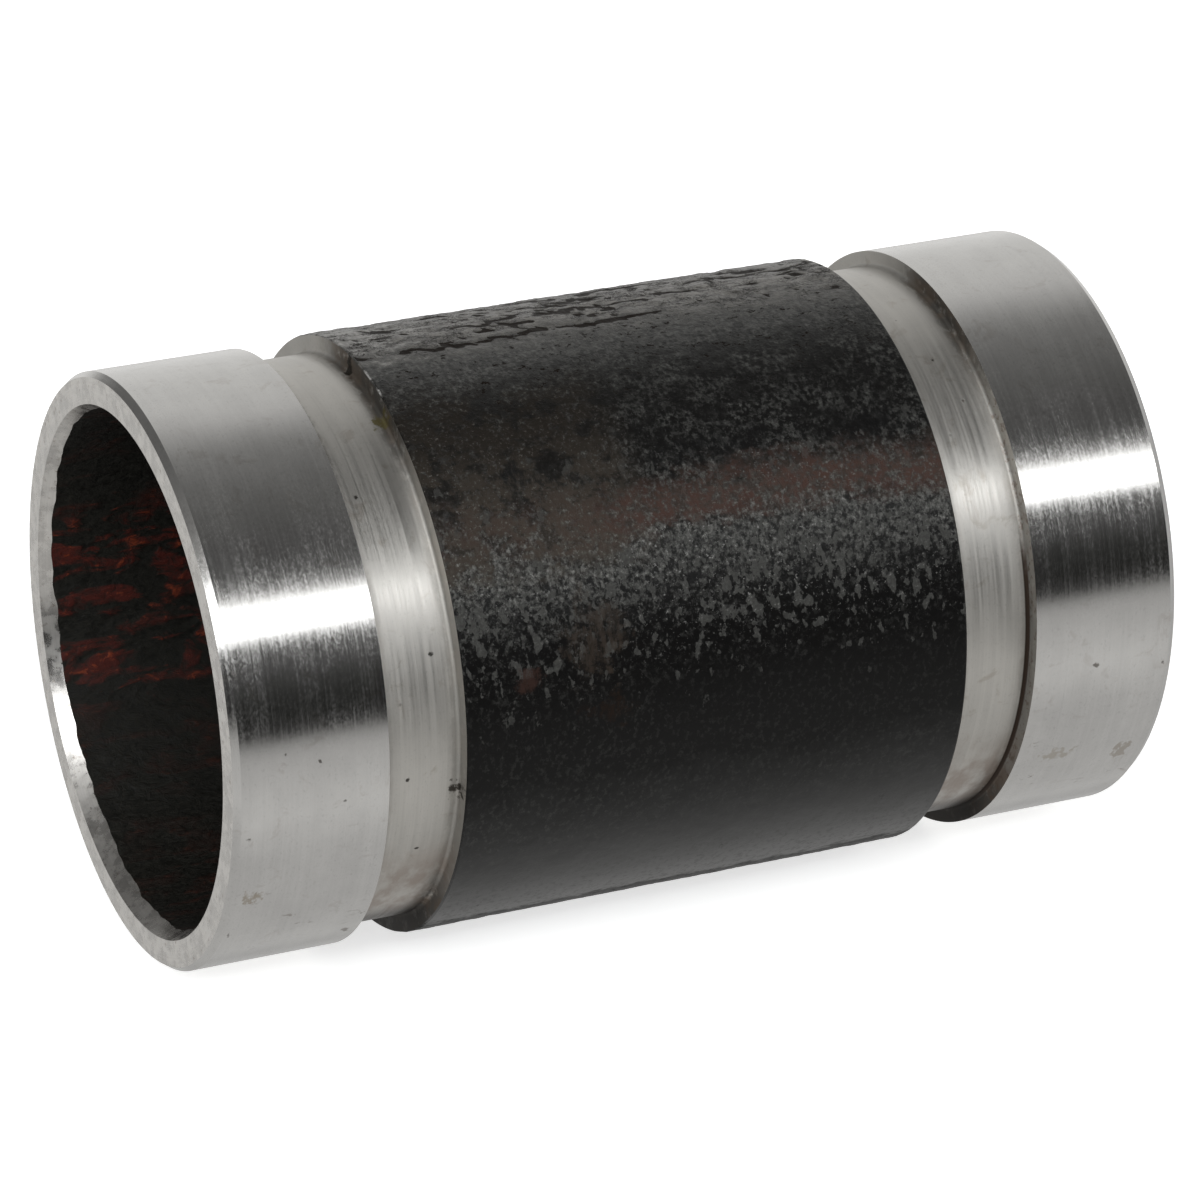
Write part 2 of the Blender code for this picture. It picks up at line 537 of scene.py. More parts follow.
def shape():
    """Every point of the mesh in mm, as (outline point, step round), with the cracks' cover."""
    xs, rs, zones = outline()
    phi_line = SEAM + 360.0 * np.arange(AROUND) / AROUND
    x = np.repeat(xs[:, None], AROUND, 1)
    r = np.repeat(rs[:, None], AROUND, 1)
    phi = np.repeat(phi_line[None, :], len(xs), 0)
    cos, sin = np.cos(np.radians(phi)), np.sin(np.radians(phi))
    on_mill = np.nonzero(rs == MILL_RADIUS)[0]
    on_bore = np.nonzero(rs == BORE_RADIUS)[0]
    cracks = np.zeros_like(x)

    def places(rows):
        return np.stack([x[rows], r[rows] * cos[rows], r[rows] * sin[rows]], -1)

    relief, cracks[on_mill] = mill_relief(places(on_mill), phi[on_mill], x[on_mill])
    edge = np.minimum(on_mill - on_mill[0], on_mill[-1] - on_mill)[:, None]
    r[on_mill] += relief * np.where(edge == 0, EDGE_RELIEF, 1.0)

    # The two edges of the mill surface are ragged where the scale has chipped
    for row, side in ((on_mill[0], 1.0), (on_mill[-1], -1.0)):
        chips = wobble(places(row), *CHIP_NOISE)
        chips += LONG_CHIP_SHARE * wobble(places(row), *LONG_CHIP_NOISE)
        spread = CHIP_SPREAD * chips * (0.5 + skin_cover(phi[row]))
        x[row] += side * (CHIP_SETBACK + spread)

    # The bevels keep their slope and meet the rough bore wherever its wall is
    r[on_bore] += bore_relief(places(on_bore), phi[on_bore])
    slope = BORE_BEVEL[1] / BORE_BEVEL[0]
    top = BORE_RADIUS + BORE_BEVEL[1]
    for row, step, side in ((0, 1, -1.0), (on_bore[1], -1, 1.0)):
        depth = (top - r[row]) / slope
        x[row] = side * (HALF - depth)
        for k in range(1, BEVEL_CELLS):
            share = 1.0 - k / BEVEL_CELLS
            x[row + k * step] = side * (HALF - depth * share)
            r[row + k * step] = top - slope * depth * share

    # The rest of the bore is drawn out between its two ends
    inner = on_bore[on_bore > on_bore[1]]
    reach = HALF - BORE_BEVEL[0]
    for row in inner:
        share = (reach - x[row]) / (2 * reach)
        x[row] = x[on_bore[1]] + (x[0] - x[on_bore[1]]) * share
    return np.stack([x, r * cos, r * sin], -1), cracks, zones, xs, rs


def sharp_rows(xs, rs):
    """Outline points where the surface turns a hard corner."""
    line = np.stack([xs, rs], -1)
    ahead = np.roll(line, -1, 0) - line
    ahead /= np.linalg.norm(ahead, axis=1)[:, None]
    behind = np.roll(ahead, 1, 0)
    turn = np.degrees(np.arccos(np.clip((ahead * behind).sum(1), -1.0, 1.0)))
    return np.nonzero(turn > SHARP_TURN)[0]


def corner_rows(xs, rs):
    """1 on the walls and corners of the grooves, fading out on their floors."""
    inner = HALF - LAND_LENGTH - GROOVE_WIDTH
    outer = HALF - LAND_LENGTH
    off = np.minimum(np.abs(np.abs(xs) - inner), np.abs(np.abs(xs) - outer))
    return smooth(off, *CORNER_FADE) * (rs < MILL_RADIUS)


def bake_rows(xs, rs, zones):
    """How far each outline point is up the unwrapped texture, 0 to 1, the bore at less scale."""
    line = np.stack([xs, rs], -1)
    steps = np.linalg.norm(np.roll(line, -1, 0) - line, axis=1)
    steps *= np.array([BORE_BAKE_SHARE if zone == "bore" else 1.0 for zone in zones])
    return np.concatenate([[0.0], np.cumsum(steps)]) / steps.sum()


def pipe_mesh(materials):
    """The closed mesh, one material to each zone."""
    points, cracks, zones, xs, rs = shape()
    rows = len(xs)
    j, i = np.meshgrid(np.arange(rows), np.arange(AROUND), indexing="ij")
    j2, i2 = (j + 1) % rows, (i + 1) % AROUND
    here, there = j * AROUND, j2 * AROUND
    quads = np.stack([here + i, here + i2, there + i2, there + i], -1).reshape(-1, 4)
    mesh = bpy.data.meshes.new(NODE + "_skin")
    mesh.from_pydata((points.reshape(-1, 3) * MM).tolist(), [], quads.tolist())
    names = list(materials)
    for name in names:
        mesh.materials.append(materials[name])
    slots = np.repeat(np.array([names.index(zone) for zone in zones]), AROUND)
    mesh.polygons.foreach_set("material_index", slots.astype(np.int32))
    mesh.shade_smooth()

    corners = np.repeat(corner_rows(xs, rs), AROUND)
    for name, values in (("crack", cracks.reshape(-1)), ("corner", corners)):
        attribute = mesh.attributes.new(name, "FLOAT", "POINT")
        attribute.data.foreach_set("value", values.astype(np.float32))

    ends = np.zeros(len(mesh.edges) * 2, np.int32)
    mesh.edges.foreach_get("vertices", ends)
    row = ends.reshape(-1, 2) // AROUND
    is_sharp = (row[:, 0] == row[:, 1]) & np.isin(row[:, 0], sharp_rows(xs, rs))
    sharp = mesh.attributes.new("sharp_edge", "BOOLEAN", "EDGE")
    sharp.data.foreach_set("value", is_sharp)

    height = bake_rows(xs, rs, zones)
    layer = mesh.uv_layers.new(name="OFBake")
    u0, u1 = i / AROUND, (i + 1) / AROUND
    v0, v1 = height[j], height[j + 1]
    unwrapped = np.stack([u0, v0, u1, v0, u1, v1, u0, v1], -1).reshape(-1)
    unwrapped = BAKE_MARGIN + (1.0 - 2.0 * BAKE_MARGIN) * unwrapped
    layer.data.foreach_set("uv", unwrapped.astype(np.float32))
    mesh.validate()
    return mesh


# ---------------------------------------------------------------- material nodes


class Nodes:
    """Short calls for building a node tree. Any value may be a number or another node's output."""

    def __init__(self, tree):
        self.tree = tree
        tree.nodes.clear()

    def add(self, kind, inputs=(), output=0, **settings):
        """One output of a new node, by name or number, or the node itself if output is None."""
        node = self.tree.nodes.new(kind)
        for name, value in settings.items():
            setattr(node, name, value)
        for key, value in dict(inputs).items():
            socket = node.inputs[key]
            if isinstance(value, bpy.types.NodeSocket):
                self.tree.links.new(value, socket)
            else:
                socket.default_value = value
        return node.outputs[output] if output is not None else node

    def math(self, operation, *values):
        return self.add("ShaderNodeMath", dict(enumerate(values)), operation=operation)

    def plus(self, base, value, factor):
        """base + value * factor."""
        return self.math("MULTIPLY_ADD", value, factor, base)

    def centred(self, value):
        """A noise value with its middle, 0.5, taken off."""
        return self.math("SUBTRACT", value, 0.5)

    def times(self, *values):
        """The product of any number of values."""
        result = values[0]
        for value in values[1:]:
            result = self.math("MULTIPLY", result, value)
        return result

    def largest(self, *values):
        result = values[0]
        for value in values[1:]:
            result = self.math("MAXIMUM", result, value)
        return result

    def vector(self, operation, *values, output=0):
        inputs = dict(enumerate(values))
        return self.add("ShaderNodeVectorMath", inputs, output, operation=operation)

    def scaled(self, vector, factors):
        return self.vector("MULTIPLY", vector, factors)

    def dot(self, vector, direction):
        return self.vector("DOT_PRODUCT", vector, direction, output="Value")

    def toned(self, colour, tone):
        """A colour times a number."""
        inputs = {0: colour, "Scale": tone}
        return self.add("ShaderNodeVectorMath", inputs, operation="SCALE")

    def noise(self, vector, scale=1.0, detail=2.0, rough=0.5, warp=0.0):
        """Noise of about 0.25 to 0.75."""
        inputs = {
            "Vector": vector,
            "Scale": scale,
            "Detail": detail,
            "Roughness": rough,
            "Distortion": warp,
        }
        return self.add("ShaderNodeTexNoise", inputs, output="Fac")

    def cells(self, vector, scale, feature="F1", output="Distance"):
        inputs = {"Vector": vector, "Scale": scale}
        return self.add("ShaderNodeTexVoronoi", inputs, output=output, feature=feature)

    def fade(self, value, low, high, start=0.0, end=1.0):
        """start at low, end at high, smooth between."""
        inputs = {0: value, 1: low, 2: high, 3: start, 4: end}
        return self.add("ShaderNodeMapRange", inputs, interpolation_type="SMOOTHSTEP")

    def mix(self, share, a, b):
        """a where share is 0, b where it is 1. Numbers if either is a plain one, else colours."""
        if any(isinstance(v, (int, float)) for v in (a, b)):
            return self.add("ShaderNodeMix", {0: share, 2: a, 3: b}, data_type="FLOAT")
        a, b = [v + (1.0,) if isinstance(v, tuple) and len(v) == 3 else v for v in (a, b)]
        return self.add("ShaderNodeMix", {0: share, 6: a, 7: b}, output=2, data_type="RGBA")

    def ramp(self, value, stops):
        """Stops as (position, value or colour)."""
        node = self.add("ShaderNodeValToRGB", {0: value}, output=None)
        elements = node.color_ramp.elements
        while len(elements) < len(stops):
            elements.new(0.5)
        for element, (place, shade) in zip(elements, stops):
            element.position = place
            element.color = (shade if isinstance(shade, tuple) else (shade,) * 3) + (1.0,)
        return node.outputs[0]

    def bump(self, height, distance, strength):
        """A bumped normal, its distance in mm."""
        inputs = {"Height": height, "Distance": distance * MM, "Strength": strength}
        return self.add("ShaderNodeBump", inputs)

    def place(self, stretch=(1.0, 1.0, 1.0)):
        """The point on the pipe in millimetres, divided by a stretch."""
        here = self.add("ShaderNodeTexCoord", output="Object")
        return self.scaled(here, tuple(1.0 / (MM * s) for s in stretch))

    def turn(self, vector):
        """The angle round the pipe in degrees. Its jump is at the seam, low on the far side."""
        middle = SEAM + 180.0
        c, s = math.cos(math.radians(middle)), math.sin(math.radians(middle))
        along = self.dot(vector, (0.0, c, s))
        across = self.dot(vector, (0.0, -s, c))
        angle = self.math("ARCTAN2", across, along)
        return self.math("MULTIPLY_ADD", angle, math.degrees(1.0), middle)

    def off_axis(self, vector):
        """Distance from the pipe's axis."""
        flat = self.scaled(vector, (0.0, 1.0, 1.0))
        return self.vector("LENGTH", flat, output="Value")

    def attribute(self, name):
        return self.add("ShaderNodeAttribute", output="Fac", attribute_name=name)


def material(name, build):
    """A material whose single Principled BSDF takes the inputs that build gives."""
    mat = bpy.data.materials.new(name)
    mat.use_nodes = True
    g = Nodes(mat.node_tree)
    shader = g.add("ShaderNodeBsdfPrincipled", build(g), output="BSDF")
    g.add("ShaderNodeOutputMaterial", {"Surface": shader}, output=None)
    return mat


def pits(g, p, scale, rarity, size):
    """Small round pits scattered over a surface: 1 inside a pit."""
    chosen = g.cells(p, scale, output="Color")
    keep = g.fade(g.dot(chosen, (0.6, 0.4, 0.0)), rarity, rarity + 0.05)
    radius = g.math("MULTIPLY", size, g.dot(chosen, (0.0, 0.5, 0.8)))
    near = g.math("DIVIDE", g.cells(p, scale), radius)
    return g.math("MULTIPLY", keep, g.fade(near, 1.0, 0.6))


def blot(g, along, angle, ragged, place, size):
    """1 inside a ragged spot at (mm along, degrees round), of a half length and half width."""
    u = g.math("DIVIDE", g.math("SUBTRACT", along, place[0]), size[0])
    v = g.math("MULTIPLY", g.math("SUBTRACT", angle, place[1]), DEGREE * MILL_RADIUS / size[1])
    far = g.math("SQRT", g.math("ADD", g.math("MULTIPLY", u, u), g.math("MULTIPLY", v, v)))
    return g.fade(g.plus(far, ragged, 5.0), 3.7, 2.9)


def marked(g, colour, marks, strength):
    """A colour with a list of small ragged marks on it."""
    p = g.place()
    along = g.dot(p, (1.0, 0.0, 0.0))
    angle = g.turn(p)
    ragged = g.noise(g.place((0.8, 0.8, 0.8)), detail=3.0, rough=0.6)
    for place, size, shade in marks:
        share = g.times(blot(g, along, angle, ragged, place, size), strength)
        colour = g.mix(share, colour, shade)
    return colour


def turned_steel(g, metal, *, rough, streak, rings, stain, speckle, pit_rarity, pit_size, bump):
    """Metal left by the lathe: fine rings round the pipe, blotches, stains and a few pits."""
    p = g.place()
    fine_rings = g.fade(g.noise(g.place((0.22, 45.0, 45.0)), rough=0.6), 0.34, 0.66)
    bands = g.fade(g.noise(g.place((0.9, 12.0, 12.0))), 0.34, 0.66)
    blotch = g.fade(g.noise(p, scale=0.22, detail=3.0, rough=0.6), 0.3, 0.7)
    mottle = g.noise(g.place((0.24, 0.38, 0.38)), detail=3.0, rough=0.65)
    stains = g.fade(g.noise(p, scale=0.35, detail=4.0, rough=0.65, warp=0.6), 0.58, 0.70)
    pit = pits(g, p, 0.40, pit_rarity, pit_size)

    gloss = g.plus(rough, g.centred(fine_rings), streak)
    gloss = g.plus(gloss, g.centred(bands), 0.3 * streak)
    speckled = g.fade(blotch, 0.2, 0.8, 0.5 * speckle, speckle)
    gloss = g.plus(gloss, g.fade(mottle, 0.42, 0.64), speckled)
    gloss = g.mix(pit, gloss, 0.6)

    tone = g.plus(0.955, blotch, 0.07)
    tone = g.plus(tone, g.centred(fine_rings), rings)
    tone = g.plus(tone, g.centred(bands), rings)
    tone = g.math("MULTIPLY", tone, g.fade(mottle, 0.30, 0.45, 0.90, 1.0))
    colour = g.toned(metal, tone)
    colour = g.mix(g.math("MULTIPLY", stains, stain), colour, TURNED_STAIN)
    colour = g.mix(pit, colour, TURNED_PIT)
    return {
        "Base Color": colour,
        "Metallic": g.mix(pit, 1.0, PIT_METALLIC),
        "Roughness": gloss,
        "Normal": g.bump(g.plus(fine_rings, pit, -6.0), bump, 0.5),
    }


def land_look(g):
    """A bright turned surface, with more stains and dark marks low down."""
    look = turned_steel(
        g,
        LAND_METAL,
        rough=0.152,
        streak=0.050,
        rings=0.03,
        stain=0.16,
        speckle=0.078,
        pit_rarity=0.97,
        pit_size=0.12,
        bump=0.0005,
    )
    p = g.place()
    low = g.fade(g.turn(p), 196.0, 212.0)
    marks = g.noise(g.place((1.6, 1.0, 1.0)), detail=5.0, rough=0.7, warp=0.5)
    spread = g.fade(g.noise(p, scale=0.12), 0.50, 0.60)
    share = g.times(low, spread, g.fade(marks, 0.60, 0.68), 0.6)
    colour = g.mix(share, look["Base Color"], LAND_STAIN)
    look["Base Color"] = marked(g, colour, LAND_MARKS, LAND_MARK_STRENGTH)
    return look


def groove_look(g):
    """A duller turned surface, browned low down, with dirt and painted shade on its walls and
    corners.
    """
    look = turned_steel(
        g,
        GROOVE_METAL,
        rough=0.36,
        streak=0.09,
        rings=0.08,
        stain=0.30,
        speckle=0.05,
        pit_rarity=0.80,
        pit_size=0.13,
        bump=0.003,
    )
    angle = g.turn(g.place())
    far_end = g.fade(g.dot(g.place(), (1.0, 0.0, 0.0)), 30.0, 34.0)
    # front ends the walls' dirt and painted shade, the rust specks and the corner line before the
    # seam
    front = g.fade(angle, 325.0, 295.0)  # ends the dirt before the seam
    corner = g.attribute("corner")

    # Brown low down
    brown = g.noise(g.place((2.5, 4.0, 4.0)), detail=4.0, rough=0.6)
    low = g.math("MULTIPLY", g.fade(angle, 198.0, 216.0), g.fade(angle, 330.0, 250.0))
    share = g.math("MULTIPLY", low, g.fade(brown, 0.35, 0.6, 0.15, 0.75))
    colour = g.mix(share, look["Base Color"], GROOVE_BROWN)

    # Dirt and painted shade on the walls and corners, from a ragged edge near the top, and again
    # low down
    dirt = g.noise(g.place((0.8, 1.6, 1.6)), detail=4.0, rough=0.65)
    dirt = g.math("MULTIPLY", corner, g.fade(g.plus(dirt, corner, 0.22), 0.46, 0.70))
    worn = g.plus(angle, g.centred(brown), 20.0)
    late = g.plus(worn, far_end, -7.0)
    upper = g.times(g.fade(late, 75.0, 91.0, 0.06, 1.0), g.fade(worn, 132.0, 112.0, 0.30, 1.0))
    lower = g.times(g.fade(angle, 205.0, 225.0), front)
    dirt = g.math("MULTIPLY", dirt, g.largest(upper, lower))
    dirt_and_shade_colour = g.mix(g.fade(brown, 0.45, 0.6), GROOVE_DIRT_AND_SHADE_GREY, GROOVE_DIRT_AND_SHADE_BROWN)
    colour = g.mix(g.math("MULTIPLY", dirt, 0.9), colour, dirt_and_shade_colour)

    # Rust specks and a thin dark corner line in the far groove
    specks = g.noise(g.place((0.4, 0.7, 0.7)), detail=4.0, rough=0.7)
    on_wall = g.fade(corner, 0.97, 1.0)
    speckled = g.fade(specks, 0.52, 0.64)
    rusty = g.times(far_end, on_wall, speckled, g.fade(angle, 120.0, 134.0), front)
    colour = g.mix(g.math("MULTIPLY", rusty, 0.6), colour, GROOVE_RUST)
    foot = g.fade(g.off_axis(g.place()), *(GROOVE_RADIUS + over for over in CREVICE_FADE))
    in_corner = g.fade(corner, 0.80, 0.96)
    crevice = g.times(far_end, foot, in_corner, g.fade(worn, 152.0, 166.0), front)
    colour = g.mix(crevice, colour, GROOVE_CREVICE)
    colour = marked(g, colour, GROOVE_MARKS, GROOVE_MARK_STRENGTH)

    # Painted shade along the underside, darkest in the corners
    under_shade = g.times(g.fade(angle, 223.0, 236.0), g.fade(angle, 318.0, 300.0), 0.9)
    under_shade_colour = g.mix(corner, GROOVE_UNDER_SHADE, GROOVE_UNDER_CORNER_SHADE)
    look["Base Color"] = g.mix(under_shade, colour, under_shade_colour)

    duller = g.times(g.fade(angle, 146.0, 156.0), g.fade(angle, 186.0, 172.0), 0.10)
    matt = g.largest(dirt, crevice, g.math("MULTIPLY", corner, 0.8))
    look["Roughness"] = g.mix(matt, g.math("ADD", look["Roughness"], duller), 0.6)
    return look


def face_look(g):
    """The faced ends and their bevels: rings round the axis, soft blotches and small pits."""
    p = g.place()
    reach = g.off_axis(p)
    along = g.dot(p, (1.0, 0.0, 0.0))
    line = g.add("ShaderNodeCombineXYZ", {0: g.math("MULTIPLY", g.math("ADD", reach, along), 4.0)})
    rings = g.fade(g.noise(line, detail=3.0, rough=0.7), 0.3, 0.7)
    blotch = g.fade(g.noise(p, scale=0.55, detail=4.0, rough=0.65), 0.32, 0.68)
    dirt = g.fade(g.noise(p, scale=1.3, detail=4.0, rough=0.7), 0.56, 0.72)
    pit = pits(g, p, 0.6, 0.76, 0.14)
    tone = g.times(g.fade(rings, 0.0, 1.0, 0.93, 1.04), g.fade(blotch, 0.0, 1.0, 0.78, 1.10))
    colour = g.toned(FACE_METAL, tone)
    colour = g.mix(g.math("MULTIPLY", dirt, 0.65), colour, FACE_DIRT)
    colour = g.mix(pit, colour, FACE_PIT)
    return {
        "Base Color": colour,
        "Metallic": g.mix(pit, 1.0, PIT_METALLIC),
        "Roughness": g.fade(blotch, 0.0, 1.0, 0.22, 0.34),
        "Normal": g.bump(g.plus(rings, pit, -6.0), 0.004, 0.5),
    }


class MillScale:
    """The places and noises that the layers of the mill scale share."""

    def __init__(self, g):
        self.g = g
        self.p = g.place()
        self.along = g.dot(self.p, (1.0, 0.0, 0.0))
        self.round_pipe = g.turn(self.p)
        self.ragged = g.noise(g.place((2.4, 1.6, 1.6)), detail=5.0, rough=0.7)
        self.slow = g.noise(g.place((18.0, 8.0, 8.0)))
        angle = g.plus(self.round_pipe, g.centred(self.ragged), 12.0)
        self.angle = g.plus(angle, g.centred(self.slow), 8.0)
        self.left = g.fade(self.along, -3.0, -9.0)
        self.grain = g.noise(self.p, scale=2.8, detail=3.0, rough=0.75)
        self.lumps = g.noise(g.place((1.5, 1.2, 1.2)), detail=4.0, rough=0.65)
        self.fine = g.noise(g.place((0.55, 0.65, 0.65)), detail=4.0, rough=0.68)
        self.flat = g.noise(g.place((0.95, 1.5, 1.5)), detail=3.0, rough=0.52)
        self.cloudy = g.noise(g.place((4.0, 3.0, 3.0)), detail=4.0, rough=0.65)
        self.skin = self.by_angle(SKIN_BAND)
        self.bottom_shade = self.by_angle(BOTTOM_SHADE_BAND)

    def by_angle(self, stops):
        """A value that depends on the ragged angle, from (degrees, value) stops."""
        places = [((degrees - SEAM) / 360.0, value) for degrees, value in stops]
        share = self.g.math("MULTIPLY_ADD", self.angle, 1.0 / 360.0, -SEAM / 360.0)
        return self.g.ramp(share, places)

    def black_and_grey(self):
        """Black with soft grey mottling and crisp flat grey patches, the mottling, the patches."""
        g = self.g
        lumpy = g.fade(self.flat, 0.38, 0.62, 0.45, 1.5)
        lumpy = g.mix(self.by_angle(LUMPY_SHEEN), 1.0, lumpy)
        sheen = g.math("MULTIPLY", self.by_angle(SHEEN), lumpy)
        black = g.mix(sheen, MILL_BLACK, MILL_SHEEN)

        mottle = g.fade(self.fine, self.by_angle(MOTTLE_FROM), 0.64)
        tone = g.fade(self.grain, 0.30, 0.70, 0.45, 1.75)
        tone = g.times(self.by_angle(MOTTLE_GREY), tone, g.mix(self.left, 1.0, 1.25))
        clear = g.fade(self.cloudy, 0.58, 0.44, 0.20, 1.45)
        clear = g.mix(self.by_angle(CLOUDED), 1.0, clear)
        gaps = g.fade(self.fine, 0.40, 0.56, 0.55, 1.25)

        limit = g.math("ADD", self.by_angle(PATCH_FROM), 0.02)
        limit = g.plus(limit, g.fade(self.cloudy, 0.38, 0.62), -0.06)
        patch = g.fade(g.math("SUBTRACT", self.flat, limit), -0.012, 0.022)
        patch_tone = g.fade(self.grain, 0.30, 0.70, 0.70, 1.30)
        patch_tone = g.times(self.by_angle(PATCH_GREY), patch_tone)

        grey = g.mix(patch, g.times(mottle, tone, clear, gaps), patch_tone)
        blue = g.math("MULTIPLY", grey, GREY_WARMTH)
        grey = g.add("ShaderNodeCombineXYZ", {0: grey, 1: grey, 2: blue})
        return g.vector("ADD", black, grey), mottle, patch

    def film(self):
        """Smooth brown film on the -X half above the stripe: where it is, and its colour."""
        g = self.g
        film = g.times(self.by_angle(FILM_BAND), self.left, g.fade(self.fine, 0.68, 0.60))
        film = g.times(film, g.fade(self.cloudy, 0.60, 0.50, 0.15, 1.0))
        colour = g.mix(self.by_angle(FILM_TONE), FILM_DARK, FILM_BROWN)
        return film, g.mix(g.fade(self.grain, 0.55, 0.75), colour, FILM_GRAIN)

    def stripe(self):
        """The brown stripe: where it is, and its colour."""
        g = self.g
        ends = g.fade(self.along, -16.0, -4.0, 0.30, 1.0)
        stripe = g.times(self.by_angle(STRIPE_BAND), ends)
        stripe = g.times(stripe, g.fade(self.fine, 0.64, 0.48, 0.25, 0.95))
        stripe = g.times(stripe, g.fade(self.lumps, 0.62, 0.44, 0.55, 1.0))
        colour = g.mix(g.fade(self.lumps, 0.38, 0.62), STRIPE_RED, STRIPE_BROWN)
        return stripe, g.mix(g.fade(self.grain, 0.56, 0.72), colour, STRIPE_GRAIN)

    def specks(self):
        """1 in the fine bright specks, which are painted glints."""
        g = self.g
        spread = g.fade(self.slow, 0.40, 0.60, 0.35, 1.0)
        return g.times(g.fade(self.grain, 0.61, 0.70), spread, self.by_angle(GLINT_SPECK_BAND))

    def veins(self):
        """1 along a net of thin veins."""
        g = self.g
        inputs = {"Vector": g.place((1.6, 1.2, 1.2)), "Detail": 4.0}
        warp = g.add("ShaderNodeTexNoise", inputs, output="Color")
        warped = g.vector("MULTIPLY_ADD", warp, (1.4,) * 3, g.place((3.4, 1.15, 1.15)))
        edge = g.cells(warped, 1.0, feature="DISTANCE_TO_EDGE")
        return g.times(g.fade(edge, 0.065, 0.012), g.fade(self.cloudy, 0.38, 0.52))

    def skin_colour(self):
        g = self.g
        colour = g.mix(g.fade(self.lumps, 0.34, 0.60), SKIN_DARK, SKIN_PALE)
        return g.mix(g.fade(self.fine, 0.46, 0.36, 0.0, 0.75), colour, SKIN_HOLLOW)

    def blots(self, base):
        """The base colour with its blots, a pale patch of painted light, and painted glints."""
        g = self.g
        streaky = g.noise(g.place((0.5, 1.6, 1.6)), detail=4.0, rough=0.7)
        for place, size, shade in BLOTS:
            spot = blot(g, self.along, self.round_pipe, self.ragged, place, size)
            share = g.times(spot, g.fade(streaky, 0.62, 0.40, 0.15, 0.85))
            base = g.mix(share, base, shade)
        return base

    def dark_lines(self):
        """1 in the veins of the skin, in the torn cracks of the mesh and in small holes."""
        g = self.g
        crumbs = g.noise(g.place((0.75, 0.55, 0.55)), detail=4.0, rough=0.62)
        holes = g.times(g.fade(crumbs, 0.42, 0.36), self.by_angle(HOLE_BAND))
        holes = g.times(holes, g.fade(self.cloudy, 0.42, 0.56))
        torn = g.fade(g.plus(g.attribute("crack"), g.centred(self.fine), 0.7), 0.30, 0.54)
        return g.largest(g.times(self.veins(), self.skin), torn, holes)


def mill_look(g):
    """Mill scale: near black, with a thick cracked skin along the top, a brown stripe, grey
    blotches and a smooth underside, with painted shade along its bottom edge.
    """
    scale = MillScale(g)
    base, mottle, patch = scale.black_and_grey()
    film, film_colour = scale.film()
    share = g.times(film, g.fade(scale.lumps, 0.62, 0.50, 0.35, 0.90))
    base = g.mix(share, base, film_colour)
    stripe, stripe_colour = scale.stripe()
    base = g.mix(stripe, base, stripe_colour)
    # Painted glints: fine bright specks
    base = g.mix(scale.specks(), base, MILL_GLINT_SPECK)
    base = g.mix(scale.skin, base, scale.skin_colour())
    base = scale.blots(base)
    dark_line = scale.dark_lines()
    base = g.mix(dark_line, base, CRACK_DARK)
    # Painted shade: a dark band on the underside, which also dims its reflection
    base = g.mix(g.math("MULTIPLY", scale.bottom_shade, 0.85), base, BOTTOM_SHADE_DARK)

    matt = g.largest(g.times(mottle, 0.6), patch, stripe, film)
    matt = g.math("MULTIPLY", matt, g.fade(scale.skin, 0.0, 1.0, 1.0, 0.0))
    matt = g.largest(matt, g.times(dark_line, 0.9))
    gloss = g.times(scale.by_angle(MILL_GLOSS), g.fade(dark_line, 0.0, 1.0, 1.0, 0.15))
    gloss = g.times(gloss, g.fade(scale.bottom_shade, 0.0, 1.0, 1.0, 0.04))
    relief = g.plus(g.math("MULTIPLY", scale.grain, 0.6), scale.lumps, 1.6)
    relief = g.plus(relief, scale.flat, 1.6)
    relief = g.plus(relief, patch, 0.5)
    relief = g.plus(relief, dark_line, -1.6)
    return {
        "Base Color": base,
        "Roughness": g.mix(matt, scale.by_angle(MILL_ROUGH), MATT_ROUGH),
        "Specular IOR Level": gloss,
        "Normal": g.bump(relief, MILL_BUMP_DEPTH, scale.by_angle(MILL_BUMP)),
    }


def bore_look(g):
    """The bore: near-black scale with streaks of red and orange rust along it."""
    p = g.place()
    streak = g.noise(g.place((7.0, 2.5, 2.5)), detail=4.0, rough=0.62, warp=0.6)
    flaky = g.noise(g.place((1.8, 1.2, 1.2)), detail=4.0, rough=0.68, warp=0.5)
    zone = g.noise(g.place((30.0, 10.0, 10.0)))
    fine = g.noise(p, scale=2.0, detail=3.0, rough=0.6)
    off = g.math("ADD", g.turn(p), -RUST_MIDDLE)
    facing = g.math("COSINE", g.math("MULTIPLY", off, DEGREE))
    within = g.fade(facing, 0.89, 0.975, 0.10, 1.0)
    rust = g.times(g.fade(streak, 0.48, 0.58), g.fade(zone, 0.38, 0.52), within)
    rust = g.times(rust, g.fade(flaky, 0.38, 0.50, 0.35, 1.0))
    bright = g.times(rust, g.fade(flaky, 0.54, 0.66))
    base = g.mix(g.fade(fine, 0.3, 0.7), BORE_DARK, BORE_PALE)
    base = g.mix(rust, base, BORE_RUST)
    base = g.mix(bright, base, BORE_RUST_BRIGHT)
    return {
        "Base Color": base,
        "Roughness": g.fade(fine, 0.3, 0.7, 0.5, 0.75),
        "Specular IOR Level": 0.3,
        "Normal": g.bump(g.plus(flaky, streak, 1.6), BORE_BUMP_DEPTH, 0.8),
    }


# ---------------------------------------------------------------- scene


